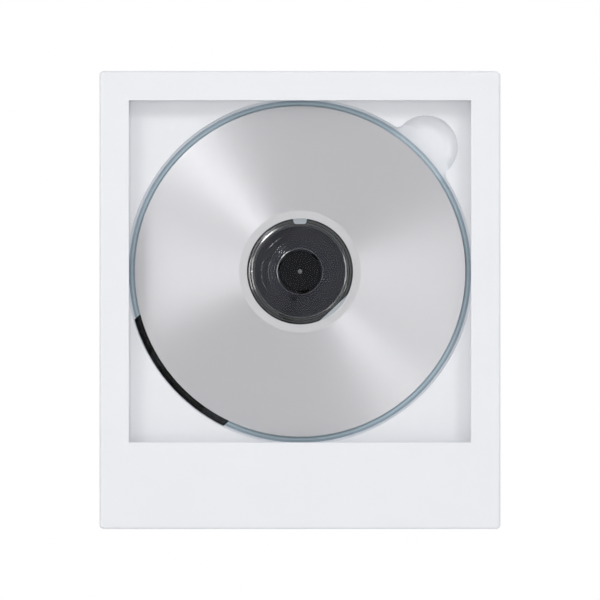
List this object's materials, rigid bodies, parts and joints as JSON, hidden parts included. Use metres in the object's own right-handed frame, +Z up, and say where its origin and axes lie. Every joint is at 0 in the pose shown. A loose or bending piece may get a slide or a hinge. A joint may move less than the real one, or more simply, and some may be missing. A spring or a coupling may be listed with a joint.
{
  "type": "wall mounted disc player",
  "caption": "White wall mounted disc player: a framed square window over an open view of the disc on its hub, with buttons along the top edge.",
  "frame": {"origin": "middle of the wall bracket's screw pattern, on the wall", "axes": "+X right, +Z up, -Y out of the wall towards the viewer"},
  "size_m": [0.14, 0.028, 0.1605],
  "materials": {
    "white_shell": "satin moulded white",
    "steel": "zinc plated sheet",
    "screw_steel": "plated",
    "magnet": "nickel plated",
    "rubber": "matte rubber",
    "black_plastic": "fine grained black",
    "motor_steel": "drawn steel can",
    "rod_steel": "ground and polished",
    "board": "solder mask",
    "chip": "moulded",
    "cell": "foil pouch",
    "clear_pane": "clear acrylic",
    "clear_disc": "clear polycarbonate",
    "disc_metal": "sputtered metal under lacquer",
    "lens": "coated lens",
    "white_gear": "natural acetal",
    "white_button": "satin moulded white"
  },
  "bodies": {
    "bracket": {"wall_bracket": "steel"},
    "housing": {"rear_housing": "white_shell", "deck_plate": "white_shell", "hinge_pins": "screw_steel", "deck_magnets": "magnet", "housing_screws": "screw_steel", "wall_pads": "rubber", "mechanism_deck": "black_plastic", "spindle_motor": "motor_steel", "sled_motor": "motor_steel", "guide_rod_upper": "rod_steel", "guide_rod_lower": "rod_steel", "damper_grommets": "rubber", "mechanism_screws": "screw_steel", "gear_axle": "screw_steel", "main_board": "board", "board_components": "chip", "board_screws": "screw_steel", "usb_c_port": "rod_steel", "audio_jack": "black_plastic", "battery": "cell", "button_board": "board", "tact_switches": "black_plastic", "cover_sensor": "chip"},
    "cover": {"front_cover": "white_shell", "cover_window": "clear_pane", "cover_magnets": "magnet"},
    "turntable": {"turntable": "black_plastic", "turntable_mat": "rubber", "spindle_shaft": "rod_steel", "compact_disc": "clear_disc", "disc_metal_layer": "disc_metal"},
    "claw_1": {"hub_claw_1": "black_plastic"},
    "claw_2": {"hub_claw_2": "black_plastic"},
    "claw_3": {"hub_claw_3": "black_plastic"},
    "pickup": {"pickup_carriage": "black_plastic", "pickup_rack": "white_gear", "lens_cover": "black_plastic", "objective_lens": "lens"},
    "drive_gear": {"drive_gear": "white_gear"},
    "motor_pinion": {"motor_pinion": "white_gear"},
    "button_power": {"button_power": "white_button"},
    "button_mode": {"button_mode": "white_button"},
    "button_previous": {"button_previous": "white_button"},
    "button_play": {"button_play": "white_button"},
    "button_next": {"button_next": "white_button"},
    "button_volume_down": {"button_volume_down": "white_button"},
    "button_volume_up": {"button_volume_up": "white_button"}
  },
  "joints": [
    {"name": "bracket_lift", "type": "slide", "parent": "bracket", "child": "housing", "axis": [0, 0, 1], "range_m": [0, 0.008]},
    {"name": "cover_hinge", "type": "hinge", "parent": "housing", "child": "cover", "pos_m": [-0.0672, -0.0252, -0.055], "axis": [0, 0, -1], "range_deg": [0, 100]},
    {"name": "disc_spin", "type": "hinge", "parent": "housing", "child": "turntable", "pos_m": [0, -0.02, -0.045], "axis": [0, -1, 0], "continuous": true},
    {"name": "claw_1_slide", "type": "slide", "parent": "turntable", "child": "claw_1", "axis": [-0.7193, 0, -0.6947], "range_m": [0, 0.0006], "stiffness_N_per_m": 400},
    {"name": "claw_2_slide", "type": "slide", "parent": "turntable", "child": "claw_2", "axis": [0.9613, 0, -0.2756], "range_m": [0, 0.0006], "stiffness_N_per_m": 400},
    {"name": "claw_3_slide", "type": "slide", "parent": "turntable", "child": "claw_3", "axis": [-0.2419, 0, 0.9703], "range_m": [0, 0.0006], "stiffness_N_per_m": 400},
    {"name": "pickup_travel", "type": "slide", "parent": "housing", "child": "pickup", "axis": [-0.7547, 0, -0.6561], "range_m": [0, 0.034]},
    {"name": "drive_gear_turn", "type": "hinge", "parent": "housing", "child": "drive_gear", "pos_m": [-0.00827, -0.009, -0.08121], "axis": [0, -1, 0], "range_deg": [-1, 559]},
    {"name": "motor_pinion_turn", "type": "hinge", "parent": "housing", "child": "motor_pinion", "pos_m": [0.00322, -0.009, -0.08101], "axis": [0, -1, 0], "range_deg": [-1579, 1]},
    {"name": "button_power_press", "type": "slide", "parent": "housing", "child": "button_power", "axis": [0, 0, -1], "range_m": [0, 0.0004], "stiffness_N_per_m": 2000},
    {"name": "button_mode_press", "type": "slide", "parent": "housing", "child": "button_mode", "axis": [0, 0, -1], "range_m": [0, 0.0004], "stiffness_N_per_m": 2000},
    {"name": "button_previous_press", "type": "slide", "parent": "housing", "child": "button_previous", "axis": [0, 0, -1], "range_m": [0, 0.0004], "stiffness_N_per_m": 2000},
    {"name": "button_play_press", "type": "slide", "parent": "housing", "child": "button_play", "axis": [0, 0, -1], "range_m": [0, 0.0004], "stiffness_N_per_m": 2000},
    {"name": "button_next_press", "type": "slide", "parent": "housing", "child": "button_next", "axis": [0, 0, -1], "range_m": [0, 0.0004], "stiffness_N_per_m": 2000},
    {"name": "button_volume_down_press", "type": "slide", "parent": "housing", "child": "button_volume_down", "axis": [0, 0, -1], "range_m": [0, 0.0004], "stiffness_N_per_m": 2000},
    {"name": "button_volume_up_press", "type": "slide", "parent": "housing", "child": "button_volume_up", "axis": [0, 0, -1], "range_m": [0, 0.0004], "stiffness_N_per_m": 2000}
  ],
  "couplings": [
    {"joint": "drive_gear_turn", "follows": "pickup_travel", "rad_per_m": 285.71},
    {"joint": "motor_pinion_turn", "follows": "pickup_travel", "rad_per_m": -809.52}
  ]
}
